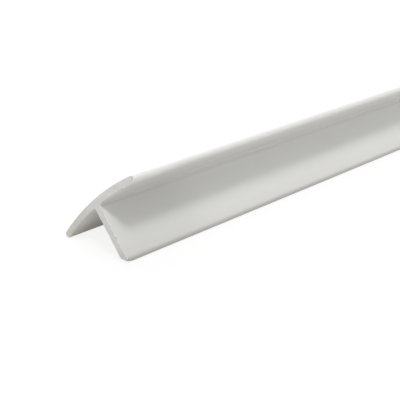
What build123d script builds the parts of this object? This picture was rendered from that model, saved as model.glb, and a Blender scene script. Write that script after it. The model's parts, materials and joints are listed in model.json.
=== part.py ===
from build123d import *

import os
from math import asin, atan2, cos, degrees, sin

# T-shaped screed strip: one length of extruded white PVC, lying as it rests on a floor.
# Its section is an arched cap with rounded edges on a straight web with a rounded foot.
# Laid down, it rests on one edge of the cap and on the foot of the web.
# +Y runs along the strip, +Z is up, and the origin is under the middle of its box.

# Driving dimensions, in millimetres
strip_length = 1000.0
cap_width = 25.0  # over the rounded edges
cap_thickness = 1.25
arch_rise = 1.1  # of the cap's middle line, from its ends to the crown
strip_height = 12.5  # from the crown to the foot
web_thickness = 1.5
root_radius = 0.4  # inside corners between web and cap

# Centres in the section, with the crown's top at the origin and the web hanging below it
edge_radius = cap_thickness / 2
foot_radius = web_thickness / 2
crown = Vector(0, -edge_radius)
left_edge = Vector(edge_radius - cap_width / 2, crown.Y - arch_rise)
right_edge = Vector(-left_edge.X, left_edge.Y)
foot = Vector(0, foot_radius - strip_height)

with BuildSketch() as section:
    with BuildLine(mode=Mode.PRIVATE) as cap_middle:
        ThreePointArc(left_edge, crown, right_edge)
    SlotArc(cap_middle.edge(), cap_thickness)
    with Locations(crown):
        Rectangle(web_thickness, crown.Y - foot.Y, align=(Align.CENTER, Align.MAX))
    with Locations(foot):
        Circle(foot_radius)
    root_corners = section.vertices().sort_by_distance((0, -cap_thickness))[:2]
    fillet(root_corners, root_radius)

# Lying down, the floor touches the round left edge and the round foot from below
edge_to_foot = foot - left_edge
floor_slope = atan2(edge_to_foot.Y, edge_to_foot.X)
floor_slope -= asin((foot_radius - edge_radius) / edge_to_foot.length)
tilt = -floor_slope
lying_box = section.sketch.rotate(Axis.Z, degrees(tilt)).bounding_box()
lying = Plane(
    origin=(-lying_box.center().X, 0, -lying_box.min.Y),
    x_dir=(cos(tilt), 0, sin(tilt)),
    z_dir=(0, -1, 0),
)

with BuildPart() as screed_strip:
    with BuildSketch(lying):
        add(section.sketch)
    extrude(amount=strip_length / 2, both=True)

screed_strip.part.label = "screed_strip"
os.makedirs("parts", exist_ok=True)
export_step(screed_strip.part, "parts/screed_strip.step")
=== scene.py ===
import json
import math

import bmesh
import bpy
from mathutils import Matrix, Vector, noise


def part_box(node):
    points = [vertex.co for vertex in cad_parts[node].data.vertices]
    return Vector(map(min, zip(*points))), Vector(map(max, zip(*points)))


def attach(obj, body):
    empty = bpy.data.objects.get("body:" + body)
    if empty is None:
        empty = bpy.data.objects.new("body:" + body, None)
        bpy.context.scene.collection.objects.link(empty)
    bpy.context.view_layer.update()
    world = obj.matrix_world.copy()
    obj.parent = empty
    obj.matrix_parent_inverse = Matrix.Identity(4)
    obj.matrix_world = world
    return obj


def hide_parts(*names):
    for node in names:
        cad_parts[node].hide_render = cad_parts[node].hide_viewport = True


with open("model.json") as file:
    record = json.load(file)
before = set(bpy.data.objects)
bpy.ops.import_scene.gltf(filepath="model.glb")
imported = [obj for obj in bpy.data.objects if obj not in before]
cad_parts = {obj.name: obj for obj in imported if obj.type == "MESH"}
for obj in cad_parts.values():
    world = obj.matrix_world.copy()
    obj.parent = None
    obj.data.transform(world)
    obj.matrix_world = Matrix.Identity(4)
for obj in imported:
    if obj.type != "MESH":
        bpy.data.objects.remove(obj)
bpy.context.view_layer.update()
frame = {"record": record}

MM = 0.001

# The strip's section, in metres, as the solid has it
CAP_WIDTH = 25.0 * MM
CAP_THICKNESS = 1.25 * MM
ARCH_RISE = 1.1 * MM
STRIP_HEIGHT = 12.5 * MM
WEB_THICKNESS = 1.5 * MM
ROOT_RADIUS = 0.4 * MM

# Radii and centres in the section, with the crown's top at the origin and the web hanging below it
EDGE_RADIUS = CAP_THICKNESS / 2
FOOT_RADIUS = WEB_THICKNESS / 2
EDGE_X = CAP_WIDTH / 2 - EDGE_RADIUS
EDGE_Y = -EDGE_RADIUS - ARCH_RISE
FOOT_Y = FOOT_RADIUS - STRIP_HEIGHT
ARCH_RADIUS = (EDGE_X ** 2 + ARCH_RISE ** 2) / (2 * ARCH_RISE)
ARCH_CENTRE_Y = -EDGE_RADIUS - ARCH_RADIUS
ARCH_HALF_ANGLE = math.asin(EDGE_X / ARCH_RADIUS)
UNDER_RADIUS = ARCH_RADIUS - EDGE_RADIUS
ROOT_X = FOOT_RADIUS + ROOT_RADIUS
ROOT_ANGLE = math.asin(ROOT_X / (UNDER_RADIUS - ROOT_RADIUS))
ROOT_Y = ARCH_CENTRE_Y + (UNDER_RADIUS - ROOT_RADIUS) * math.cos(ROOT_ANGLE)

# Where the section lies: the web's right face gives its tilt and its place
web_face = next(m for m in frame["record"]["mounts"] if m["name"] == "web_side_right")
ACROSS = Vector(web_face["axis"])
UPRIGHT = Vector((-ACROSS.z, 0, ACROSS.x))
WEB_MIDDLE_Y = (-CAP_THICKNESS - ROOT_RADIUS + FOOT_Y) / 2
CROWN = Vector(web_face["pos_m"]) - ACROSS * FOOT_RADIUS - UPRIGHT * WEB_MIDDLE_Y
CROWN.y = 0
strip_low, strip_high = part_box("screed_strip")
NEAR_Y = strip_low.y
FAR_Y = strip_high.y


def lying(x, y, along):
    """A point of the section, as the strip lies, at a place along the strip."""
    return CROWN + ACROSS * x + UPRIGHT * y + Vector((0, along, 0))


def under_y(x):
    """The height of the cap's underside in the section."""
    return ARCH_CENTRE_Y + math.sqrt(UNDER_RADIUS ** 2 - x ** 2)


def arc(centre, radius, start, end, steps):
    """Points on an arc, with angles from straight up, turning to the right."""
    points = []
    for step in range(steps + 1):
        angle = start + (end - start) * step / steps
        points.append((centre[0] + radius * math.sin(angle), centre[1] + radius * math.cos(angle)))
    return points


def half_outline():
    """The right half of the section's outline, from the crown round the edge and the foot to the bottom."""
    crown_steps = 32
    edge_steps = 20
    under_steps = 28
    root_steps = 8
    web_steps = 20
    foot_steps = 12
    arch_centre = (0, ARCH_CENTRE_Y)
    edge_end = ARCH_HALF_ANGLE + math.pi
    points = arc(arch_centre, ARCH_RADIUS + EDGE_RADIUS, 0, ARCH_HALF_ANGLE, crown_steps)
    points += arc((EDGE_X, EDGE_Y), EDGE_RADIUS, ARCH_HALF_ANGLE, edge_end, edge_steps)[1:]
    points += arc(arch_centre, UNDER_RADIUS, ARCH_HALF_ANGLE, ROOT_ANGLE, under_steps)[1:]
    points += arc((ROOT_X, ROOT_Y), ROOT_RADIUS, ROOT_ANGLE, -math.pi / 2, root_steps)[1:]
    for step in range(1, web_steps + 1):
        points.append((FOOT_RADIUS, ROOT_Y + (FOOT_Y - ROOT_Y) * step / web_steps))
    points += arc((0, FOOT_Y), FOOT_RADIUS, math.pi / 2, math.pi, foot_steps)[1:]
    return points


def outline():
    """The whole outline, clockwise from the crown."""
    right = half_outline()
    left = [(-x, y) for x, y in right[1:-1]]
    return right + left[::-1]


def inset(section, depths):
    """The outline, moved inwards by a depth for each of its points."""
    moved = []
    for i, (x, y) in enumerate(section):
        before = section[i - 1]
        after = section[(i + 1) % len(section)]
        run = Vector((after[0] - before[0], after[1] - before[1])).normalized()
        moved.append((x + run.y * depths[i], y - run.x * depths[i]))
    return moved


def stations():
    """Places along the strip, closer together near its ends, without the ends themselves."""
    first_step = 0.25 * MM
    longest_step = 12 * MM
    growth = 1.35
    half = (FAR_Y - NEAR_Y) / 2
    places = []
    step = first_step
    place = first_step
    while place < half:
        places.append(place)
        step = min(step * growth, longest_step)
        place += step
    near = [NEAR_Y + p for p in places]
    far = [FAR_Y - p for p in places]
    return near + far[::-1]


def broken_edge(section, seed):
    """How deep the saw broke the end's edge at each point of the outline."""
    least = 0.03 * MM
    spread = 0.09 * MM
    patch = 0.9 * MM
    depths = []
    for x, y in section:
        swing = noise.noise(Vector((x / patch, y / patch, seed)))
        depths.append(least + spread * max(0.0, swing))
    return depths


def blunted(point):
    """A point of the strip, raised where the near corner of the foot is worn off."""
    height = 0.62 * MM
    length = 1.95 * MM
    if point.x > 0:
        point.z = max(point.z, height * (1 - (point.y - NEAR_Y) / length))
    return point


def strip_rows():
    """The outline at each place along the strip, with a narrow broken edge at both cuts."""
    near_seed = 3.7
    far_seed = 8.2
    section = outline()
    near_edge = broken_edge(section, near_seed)
    far_edge = broken_edge(section, far_seed)
    rows = [[lying(x, y, NEAR_Y) for x, y in inset(section, near_edge)]]
    rows.append([lying(x, y, NEAR_Y + depth) for (x, y), depth in zip(section, near_edge)])
    rows += [[lying(x, y, along) for x, y in section] for along in stations()]
    rows.append([lying(x, y, FAR_Y - depth) for (x, y), depth in zip(section, far_edge)])
    rows.append([lying(x, y, FAR_Y) for x, y in inset(section, far_edge)])
    return [[blunted(point) for point in row] for row in rows]


def placed(name, data):
    """A new object with its data, in the scene."""
    piece = bpy.data.objects.new(name, data)
    bpy.context.scene.collection.objects.link(piece)
    return piece


def strip_piece():
    """The strip, finely divided, with its two sawn ends as a second material."""
    sharp_from = math.radians(35)
    rows = strip_rows()
    count = len(rows[0])
    last = len(rows) - 1
    faces = []
    sawn = []
    for row in range(last):
        here = row * count
        beyond = here + count
        for i in range(count):
            j = (i + 1) % count
            faces.append((here + i, here + j, beyond + j, beyond + i))
            sawn.append(row in (0, last - 1))
    faces.append(tuple(reversed(range(count))))
    faces.append(tuple(range(last * count, (last + 1) * count)))
    sawn += [True, True]
    mesh = bpy.data.meshes.new("strip")
    mesh.from_pydata([point for row in rows for point in row], [], faces)
    mesh.polygons.foreach_set("material_index", [int(s) for s in sawn])
    mesh.shade_smooth()
    mesh.set_sharp_from_angle(angle=sharp_from)
    return placed("strip", mesh)


def burr(mesh, path, radius, seed):
    """A ridge of torn plastic along a path, thick in the middle and drawn out at its ends."""
    sides = 7
    taper = 0.6
    lump_height = 0.45
    lumps_around = 3
    lumps_along = 0.7
    rings = []
    for step, point in enumerate(path):
        before = path[max(step - 1, 0)]
        after = path[min(step + 1, len(path) - 1)]
        ahead = (after - before).normalized()
        beside = ahead.orthogonal().normalized()
        above = ahead.cross(beside)
        swell = math.sin(math.pi * (step + 0.5) / len(path)) ** taper
        ring = []
        for side in range(sides):
            turn = 2 * math.pi * side / sides
            right = math.cos(turn)
            up = math.sin(turn)
            lump = noise.noise(Vector((lumps_around * right, lumps_around * up, lumps_along * step + seed)))
            reach = radius * swell * (1 + lump_height * lump)
            ring.append(mesh.verts.new(point + reach * (right * beside + up * above)))
        rings.append(ring)
    for near, far in zip(rings, rings[1:]):
        for side in range(sides):
            following = (side + 1) % sides
            mesh.faces.new((near[side], near[following], far[following], far[side]))
    mesh.faces.new(rings[0][::-1])
    mesh.faces.new(rings[-1])


def bead(mesh, centre, radius, seed):
    """A crumb that hangs on the edge of the cut, leaning any way."""
    steps = 6
    length = 1.5 * radius
    lean_along = 0.3
    lean_x = noise.noise(centre / MM + Vector((seed, 0, 0)))
    lean_z = noise.noise(centre / MM + Vector((0, seed, 0)))
    lean = Vector((lean_x, lean_along, lean_z)).normalized()
    path = [centre + lean * length * (step / (steps - 1) - 0.5) for step in range(steps)]
    burr(mesh, path, radius, seed)


def ridge(mesh, x, end, top, bottom):
    """A ridge of torn plastic down one edge of the web."""
    steps = 24
    radius = 0.09 * MM
    path = [lying(x, top + (bottom - top) * step / steps, end) for step in range(steps + 1)]
    burr(mesh, path, radius, x / MM)


def burrs_piece():
    """Saw burrs: crumbs under the wings and a ridge on the web at both ends, and crumbs on the near web."""
    # Each crumb's place across the wing and its radius, in mm
    near_crumbs = ((5.9, 0.13), (6.9, 0.19), (9.3, 0.21), (11.4, 0.13))
    far_crumbs = ((-10.2, 0.14), (-4.6, 0.18), (7.7, 0.13))
    # Each crumb's distance off the web, its height and its radius, in mm, and its seed
    web_crumbs = ((0.1, -7.6, 0.25, 5.0), (0.15, -11.9, 0.15, 9.0))
    mesh = bmesh.new()
    for end, crumbs in ((NEAR_Y, near_crumbs), (FAR_Y, far_crumbs)):
        for x, radius in crumbs:
            bead(mesh, lying(x * MM, under_y(x * MM), end), radius * MM, x)
    ridge(mesh, FOOT_RADIUS, NEAR_Y, top=-2.2 * MM, bottom=-7.7 * MM)
    ridge(mesh, -FOOT_RADIUS, FAR_Y, top=-4.0 * MM, bottom=-8.5 * MM)
    for off_web, y, radius, seed in web_crumbs:
        bead(mesh, lying(FOOT_RADIUS + off_web * MM, y * MM, NEAR_Y), radius * MM, seed)
    bmesh.ops.recalc_face_normals(mesh, faces=mesh.faces)
    result = bpy.data.meshes.new("saw_burrs")
    mesh.to_mesh(result)
    mesh.free()
    result.shade_smooth()
    return placed("saw_burrs", result)


def join(tree, value, socket):
    """Links another node's output to a socket, or sets the socket to a value."""
    if isinstance(value, bpy.types.NodeSocket):
        tree.links.new(value, socket)
    else:
        socket.default_value = value


def add_node(tree, kind, settings=None, **sockets):
    """A new node; each named socket is linked to another node's output or set to a value."""
    made = tree.nodes.new(kind)
    for name, value in (settings or {}).items():
        setattr(made, name, value)
    for name, value in sockets.items():
        join(tree, value, made.inputs[name])
    return made


def maths(tree, operation, *values):
    """The result of a sum on numbers or other nodes' results."""
    made = tree.nodes.new("ShaderNodeMath")
    made.operation = operation
    for socket, value in zip(made.inputs, values):
        join(tree, value, socket)
    return made.outputs[0]


def vector_maths(tree, operation, *values):
    """The same for vectors; a product, a length and a distance are numbers."""
    made = tree.nodes.new("ShaderNodeVectorMath")
    made.operation = operation
    for socket, value in zip(made.inputs, values):
        join(tree, value, socket)
    return made.outputs["Value" if operation in ("DOT_PRODUCT", "LENGTH", "DISTANCE") else "Vector"]


def product(tree, first, *others):
    """All values multiplied."""
    result = first
    for value in others:
        result = maths(tree, "MULTIPLY", result, value)
    return result


def weighted(tree, *terms):
    """The sum of all values, each times its weight."""
    total = 0.0
    for value, weight in terms:
        total = maths(tree, "MULTIPLY_ADD", value, weight, total)
    return total


def rest(tree, share):
    """What a share leaves of the whole."""
    return maths(tree, "SUBTRACT", 1.0, share)


def ramp(tree, value, start, end, low=0.0, high=1.0):
    """A smooth step from low, where the value is start, to high, where it is end."""
    made = add_node(tree, "ShaderNodeMapRange", {"interpolation_type": "SMOOTHSTEP"}, Value=value)
    for name, number in (("From Min", start), ("From Max", end), ("To Min", low), ("To Max", high)):
        made.inputs[name].default_value = number
    return made.outputs["Result"]


def mixed(tree, share, first, second):
    """Two colours mixed by a share."""
    made = tree.nodes.new("ShaderNodeMix")
    made.data_type = "RGBA"
    colour_sockets = [socket for socket in made.inputs if socket.type == "RGBA"]
    join(tree, share, made.inputs["Factor"])
    join(tree, first, colour_sockets[0])
    join(tree, second, colour_sockets[1])
    return next(socket for socket in made.outputs if socket.type == "RGBA")


def joined(tree, x, y, z):
    """A vector from three numbers."""
    return add_node(tree, "ShaderNodeCombineXYZ", X=x, Y=y, Z=z).outputs[0]


def noise_texture(tree, place, scale, detail, roughness=0.5):
    """Noise about one half, with its scale per mm."""
    sockets = {"Vector": place, "Scale": scale, "Detail": detail, "Roughness": roughness}
    return add_node(tree, "ShaderNodeTexNoise", **sockets).outputs["Fac"]


PVC_IOR = 1.53

# Colours of the plastic, of what has settled on it, and of painted shade
CLEAN = (0.868, 0.874, 0.862, 1)
# Uneven dusty tone, and also painted shade under the cap and on the web
DUSTY_AND_SHADED = (0.815, 0.820, 0.800, 1)
SAWN = (0.915, 0.916, 0.908, 1)
SAWN_DULL = (0.880, 0.880, 0.870, 1)
TORN = (0.93, 0.93, 0.92, 1)
TORN_DULL = (0.88, 0.88, 0.865, 1)
# Grey painted shade under the right wing and near the ends of the web
GREY_SHADE = (0.572, 0.575, 0.555, 1)
# Warm painted shade under the left wing, and towards it on the cut ends
WARM_SHADE = (0.56, 0.49, 0.39, 1)
# Painted shade low down, where the floor shades the strip
FLOOR_SHADE = (0.46, 0.41, 0.34, 1)
# Dark specks and saw marks, and painted shade in the inside corners and under the foot
GRIME_AND_SHADE = (0.44, 0.43, 0.40, 1)


def plastic(name):
    """A new material, its tree and its shader, and a point's place in the section and along, in mm."""
    material = bpy.data.materials.new(name)
    material.use_nodes = True
    tree = material.node_tree
    shader = tree.nodes["Principled BSDF"]
    shader.inputs["IOR"].default_value = PVC_IOR
    place = tree.nodes.new("ShaderNodeTexCoord").outputs["Object"]
    from_crown = vector_maths(tree, "SUBTRACT", place, CROWN)
    x = vector_maths(tree, "DOT_PRODUCT", from_crown, ACROSS / MM)
    y = vector_maths(tree, "DOT_PRODUCT", from_crown, UPRIGHT / MM)
    along = vector_maths(tree, "DOT_PRODUCT", from_crown, Vector((0, 1 / MM, 0)))
    return material, tree, shader, x, y, along


def finish_surface(tree, shader, colour, roughness, height, depth, strength):
    """Gives the shader its colour, its roughness and a bump of a depth and a strength."""
    bump = add_node(tree, "ShaderNodeBump", Strength=strength, Distance=depth, Height=height)
    tree.links.new(colour, shader.inputs["Base Color"])
    tree.links.new(roughness, shader.inputs["Roughness"])
    tree.links.new(bump.outputs[0], shader.inputs["Normal"])


def grime_marks():
    """Specks with their radii: on the right edge, beside the cut and under the right wing."""
    # Each one's place in the section, its place along the strip and its radius
    marks = [
        (EDGE_X + 0.46 * MM, EDGE_Y + 0.1 * MM, NEAR_Y, 0.22 * MM),
        (FOOT_RADIUS, -11.75 * MM, NEAR_Y, 0.22 * MM),
        (EDGE_X + 0.3 * MM, EDGE_Y + 0.55 * MM, NEAR_Y + 2.5 * MM, 0.31 * MM),
    ]
    # Each one's place across the wing, its distance from the near end and its radius, in mm
    under_wing = ((11.2, 41.5, 0.3), (11.1, 53.2, 0.28), (9.6, 24.0, 0.2))
    for x, behind_end, radius in under_wing:
        marks.append((x * MM, under_y(x * MM), NEAR_Y + behind_end * MM, radius * MM))
    return [(lying(x, y, along), radius) for x, y, along, radius in marks]


def specks(tree):
    """The share of grime in the specks, which are even in their core and fade towards their radius."""
    core = 0.4
    place = tree.nodes["Texture Coordinate"].outputs["Object"]
    share = 0.0
    for centre, radius in grime_marks():
        away = vector_maths(tree, "DISTANCE", place, centre)
        speck = ramp(tree, away, start=radius, end=core * radius, high=0.55)
        share = maths(tree, "MAXIMUM", share, speck)
    return share


def painted_corner_and_foot_shade(tree, x, y):
    """The share of painted shade in the two inside corners, and of painted shadow under the foot."""
    corner_x = (FOOT_RADIUS + 0.25 * ROOT_RADIUS) / MM
    corner_y = (-CAP_THICKNESS - 0.8 * ROOT_RADIUS) / MM
    foot_side = (FOOT_Y + 0.5 * FOOT_RADIUS) / MM
    foot_bottom = -STRIP_HEIGHT / MM
    beside = maths(tree, "SUBTRACT", maths(tree, "ABSOLUTE", x), corner_x)
    above = maths(tree, "SUBTRACT", y, corner_y)
    from_corner = vector_maths(tree, "LENGTH", joined(tree, beside, above, 0.0))
    # Painted shade in the inside corners, where the cap meets the web
    in_corner = ramp(tree, from_corner, start=0.6, end=0.05, high=0.22)
    # Painted shadow along the foot, where it meets the floor
    under_foot = ramp(tree, y, start=foot_side, end=foot_bottom, high=0.6)
    return maths(tree, "MAXIMUM", in_corner, under_foot)


def painted_floor_shade(tree, y):
    """The share of painted shade on the lowest part of the web, darkest at the bottom, where the floor
    shades it.
    """
    return ramp(tree, y, start=-9.0, end=-12.0, high=0.1)


def below_cap(tree, x, y):
    """0 on the outside of the cap, and 1 on its underside and on the web."""
    outside = (ARCH_RADIUS + 0.3 * EDGE_RADIUS) / MM
    inside = (ARCH_RADIUS - 0.9 * EDGE_RADIUS) / MM
    above_centre = maths(tree, "SUBTRACT", y, ARCH_CENTRE_Y / MM)
    from_centre = vector_maths(tree, "LENGTH", joined(tree, x, above_centre, 0.0))
    return ramp(tree, from_centre, start=outside, end=inside)


def from_nearer_end(tree, along):
    """The distance to the nearer end of the strip, in mm."""
    half_length = (FAR_Y - NEAR_Y) / 2 / MM
    return maths(tree, "SUBTRACT", half_length, maths(tree, "ABSOLUTE", along))


def painted_light_near_cuts(tree, x, from_end):
    """The share of painted light, which takes painted shade away: beside the cuts, and further along on the
    right edge.
    """
    beside_cut = ramp(tree, from_end, start=4.5, end=0.5, high=0.7)
    near_edge = ramp(tree, x, start=8.5, end=11.0)
    near_end = ramp(tree, from_end, start=14.0, end=5.0)
    return maths(tree, "MAXIMUM", beside_cut, product(tree, near_edge, near_end))


def painted_grey_shade(tree, x, from_end, shade_kept):
    """The share of grey painted shade: under the right wing, and on the web's right face near the ends."""
    right_of_middle = ramp(tree, x, start=-0.5, end=0.5)
    close_to_web = ramp(tree, x, start=3.0, end=1.0)
    # Painted shade on the web near the ends, darker there than further along
    near_end = ramp(tree, from_end, start=24.0, end=14.0, high=0.21)
    on_web = product(tree, right_of_middle, close_to_web, near_end)
    # Painted shade under the right wing
    under_wing = ramp(tree, x, start=1.0, end=3.0, high=0.35)
    return maths(tree, "MULTIPLY_ADD", under_wing, shade_kept, on_web)


def painted_warm_shade(tree, x, shade_kept):
    """The share of warm painted shade: under the left wing, and more where it lies on the floor."""
    under_wing = ramp(tree, x, start=-1.0, end=-3.0, high=0.6)
    # More painted shade where the wing lies on the floor
    at_floor = ramp(tree, x, start=-7.0, end=-11.5, high=0.35)
    return maths(tree, "MULTIPLY_ADD", under_wing, shade_kept, at_floor)


def draw_lines(tree, x, y, along):
    """Fine lines and broad bands along the strip, which the die leaves."""
    # How fast they change along the strip, next to how fast they change across it
    lines_along = 0.012
    bands_along = 0.006
    lines_place = joined(tree, x, y, maths(tree, "MULTIPLY", along, lines_along))
    bands_place = joined(tree, x, y, maths(tree, "MULTIPLY", along, bands_along))
    lines = noise_texture(tree, lines_place, scale=2.4, detail=4, roughness=0.6)
    bands = noise_texture(tree, bands_place, scale=0.45, detail=2)
    return lines, bands


def saw_marks(tree, x, y, along):
    """Fine marks of the saw, drawn out along its stroke."""
    stroke_x = 0.94
    stroke_y = -0.35
    # How fast they change along the stroke, next to how fast they change across it
    marks_along = 0.08
    stroke = weighted(tree, (x, stroke_x), (y, stroke_y))
    across_stroke = weighted(tree, (x, -stroke_y), (y, stroke_x))
    marks_place = joined(tree, across_stroke, maths(tree, "MULTIPLY", stroke, marks_along), along)
    return noise_texture(tree, marks_place, scale=3.0, detail=3, roughness=0.6)


def pvc():
    """White PVC as it leaves the die: satin, with fine lines and an uneven dusty tone, and with painted
    shade where the cap shelters it.
    """
    material, tree, shader, x, y, along = plastic("white_pvc")
    lines, bands = draw_lines(tree, x, y, along)
    cloud = noise_texture(tree, joined(tree, x, y, along), scale=0.12, detail=3)
    inside = below_cap(tree, x, y)
    from_end = from_nearer_end(tree, along)
    # What is left of the painted shade after the painted light beside the cuts
    shade_kept = rest(tree, painted_light_near_cuts(tree, x, from_end))
    # Uneven dusty tone, with painted shade on the underside and the web, which the cap shelters
    dust_and_shade = weighted(tree, (inside, 0.13), (cloud, 0.21), (bands, 0.21))
    # Grey painted shade under the right wing and on the web near the ends
    grey_shade_share = product(tree, inside, painted_grey_shade(tree, x, from_end, shade_kept))
    # Warm painted shade under the left wing
    warm_shade_share = product(tree, inside, painted_warm_shade(tree, x, shade_kept))
    # Painted shade in the corners and under the foot, with real specks
    darkening = maths(tree, "MAXIMUM", painted_corner_and_foot_shade(tree, x, y), specks(tree))
    colour = mixed(tree, dust_and_shade, CLEAN, DUSTY_AND_SHADED)
    colour = mixed(tree, grey_shade_share, colour, GREY_SHADE)
    colour = mixed(tree, warm_shade_share, colour, WARM_SHADE)
    # Painted shade, darker towards the bottom of the web
    colour = mixed(tree, painted_floor_shade(tree, y), colour, FLOOR_SHADE)
    colour = mixed(tree, darkening, colour, GRIME_AND_SHADE)
    roughness = ramp(tree, lines, start=0.3, end=0.7, low=0.34, high=0.46)
    height = weighted(tree, (lines, 1.0), (bands, 1.6))
    finish_surface(tree, shader, colour, roughness, height, depth=0.02 * MM, strength=0.5)
    return material


def sawn_pvc():
    """The cut ends: matt, with the saw's marks, and with painted shade towards the left wing and the foot.
    """
    material, tree, shader, x, y, along = plastic("sawn_pvc")
    marks = saw_marks(tree, x, y, along)
    cloud = noise_texture(tree, joined(tree, x, y, along), scale=0.5, detail=3)
    dull = ramp(tree, cloud, start=0.3, end=0.7)
    # Warm painted shade, darker towards the left wing, which lies nearer the floor
    warm_shade_share = ramp(tree, x, start=0.5, end=-8.5, high=0.28)
    in_marks = ramp(tree, marks, start=0.62, end=0.85, high=0.12)
    darkening = maths(tree, "MAXIMUM", in_marks, specks(tree))
    colour = mixed(tree, dull, SAWN, SAWN_DULL)
    colour = mixed(tree, warm_shade_share, colour, WARM_SHADE)
    # Painted shade, darker towards the bottom of the cut end
    colour = mixed(tree, painted_floor_shade(tree, y), colour, FLOOR_SHADE)
    colour = mixed(tree, darkening, colour, GRIME_AND_SHADE)
    roughness = ramp(tree, marks, start=0.3, end=0.7, low=0.55, high=0.7)
    finish_surface(tree, shader, colour, roughness, marks, depth=0.03 * MM, strength=0.6)
    return material


def torn_pvc():
    """The burrs: plastic that went white where the saw tore it."""
    material, tree, shader, x, y, along = plastic("torn_pvc")
    lumps = noise_texture(tree, joined(tree, x, y, along), scale=4.0, detail=2)
    dull = ramp(tree, lumps, start=0.3, end=0.7)
    tree.links.new(mixed(tree, dull, TORN, TORN_DULL), shader.inputs["Base Color"])
    shader.inputs["Roughness"].default_value = 0.6
    return material


def seen_directly(tree):
    """1 for what the camera sees, also mirrored or through glass, and 0 for what lights a matt surface."""
    path = tree.nodes.new("ShaderNodeLightPath").outputs
    seen = maths(tree, "MAXIMUM", path["Is Camera Ray"], path["Is Glossy Ray"])
    return maths(tree, "MAXIMUM", seen, path["Is Transmission Ray"])


def floor_material():
    """White where it is seen, with a faint shadow, and pale where it throws light back at the strip."""
    bounce = (0.72, 0.70, 0.67, 1)
    shadow_share = (0.17, 0.17, 0.17, 1)
    own_glow = 0.86
    material = bpy.data.materials.new("floor")
    material.use_nodes = True
    tree = material.node_tree
    tree.nodes.clear()
    seen = seen_directly(tree)
    matt = add_node(tree, "ShaderNodeBsdfDiffuse", Color=mixed(tree, seen, bounce, shadow_share))
    glow = add_node(tree, "ShaderNodeEmission", Strength=maths(tree, "MULTIPLY", seen, own_glow))
    both = tree.nodes.new("ShaderNodeAddShader")
    tree.links.new(matt.outputs[0], both.inputs[0])
    tree.links.new(glow.outputs[0], both.inputs[1])
    out = tree.nodes.new("ShaderNodeOutputMaterial")
    tree.links.new(both.outputs[0], out.inputs["Surface"])
    return material


def floor_piece():
    """A wide floor, just clear of the strip."""
    half_size = 20.0
    below = 0.01 * MM
    corners = ((-1, -1), (1, -1), (1, 1), (-1, 1))
    mesh = bpy.data.meshes.new("floor")
    mesh.from_pydata([(x * half_size, y * half_size, -below) for x, y in corners], [], [(0, 1, 2, 3)])
    mesh.materials.append(floor_material())
    piece = placed("floor", mesh)


def towards(elevation, azimuth):
    """The way to a light, in degrees up from the floor and round from the near end towards the right."""
    up = math.radians(elevation)
    turn = math.radians(azimuth)
    return Vector((math.sin(turn) * math.cos(up), -math.cos(turn) * math.cos(up), math.sin(up)))


def soft_light():
    """Wide glows, like large soft boxes: from the far left, from the front right and low on the right."""
    # Each one's elevation and azimuth, in degrees, and its strength
    glows = ((40, 225, 2.61), (40, 45, 1.055), (10, 90, 0.15))
    narrowness = 4.0
    studio = bpy.data.worlds.new("studio")
    studio.use_nodes = True
    bpy.context.scene.world = studio
    tree = studio.node_tree
    way = tree.nodes.new("ShaderNodeTexCoord").outputs["Generated"]
    lobes = []
    for elevation, azimuth, strength in glows:
        facing = vector_maths(tree, "DOT_PRODUCT", way, towards(elevation, azimuth))
        lobe = maths(tree, "POWER", maths(tree, "MAXIMUM", facing, 0.0), narrowness)
        lobes.append((lobe, strength))
    seen = seen_directly(tree)
    unseen_light = product(tree, weighted(tree, *lobes), rest(tree, seen))
    background = tree.nodes["Background"]
    background.inputs["Color"].default_value = (1, 1, 1, 1)
    tree.links.new(maths(tree, "ADD", unseen_light, seen), background.inputs["Strength"])


def key_light():
    """The main lamp, high on the right: a bright middle and a wider, weaker ring towards the near end."""
    # Each one's elevation and azimuth, in degrees, its energy and its width, in degrees
    lamps = ((60, 62, 0.66, 11), (64, 52, 0.302, 16))
    for elevation, azimuth, energy, width in lamps:
        lamp = bpy.data.lights.new("key", "SUN")
        lamp.energy = energy
        lamp.angle = math.radians(width)
        piece = placed("key", lamp)
        piece.rotation_euler = towards(elevation, azimuth).to_track_quat("Z", "Y").to_euler()


def fill_light():
    """A long weak lamp low on the right, beside all of the strip but its near end."""
    radiance = 0.215
    start = NEAR_Y + 16 * MM
    low_edge = Vector((20.0 * MM, 0, 6.0 * MM))
    high_edge = Vector((31.3 * MM, 0, 16.4 * MM))
    slope = high_edge - low_edge
    lamp = bpy.data.lights.new("fill", "AREA")
    lamp.shape = "RECTANGLE"
    lamp.size = FAR_Y - start
    lamp.size_y = slope.length
    lamp.energy = radiance * math.pi * lamp.size * lamp.size_y
    piece = placed("fill", lamp)
    piece.location = (low_edge + high_edge) / 2 + Vector((0, (start + FAR_Y) / 2, 0))
    piece.rotation_euler = Vector((-slope.z, 0, slope.x)).to_track_quat("-Z", "Y").to_euler()


def camera():
    """The photo's view: it looks down on the near end from the front right."""
    azimuth = math.radians(44.313)
    elevation = math.radians(21.824)
    right_of_crown = 116.07 * MM
    before_end = 92.33 * MM
    height = 68.56 * MM
    data = bpy.data.cameras.new("camera")
    data.sensor_width = 36
    data.lens = 82.01
    data.clip_start = 5 * MM
    piece = placed("camera", data)
    piece.location = (CROWN.x + right_of_crown, NEAR_Y - before_end, height)
    piece.rotation_euler = (math.pi / 2 - elevation, 0, azimuth)
    bpy.context.scene.camera = piece


strip = strip_piece()
burrs = burrs_piece()
strip.data.materials.append(pvc())
strip.data.materials.append(sawn_pvc())
burrs.data.materials.append(torn_pvc())
for piece in (strip, burrs):
    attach(piece, "root")
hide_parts("screed_strip")
floor_piece()
soft_light()
key_light()
fill_light()
camera()
bpy.context.scene.view_settings.view_transform = "Standard"
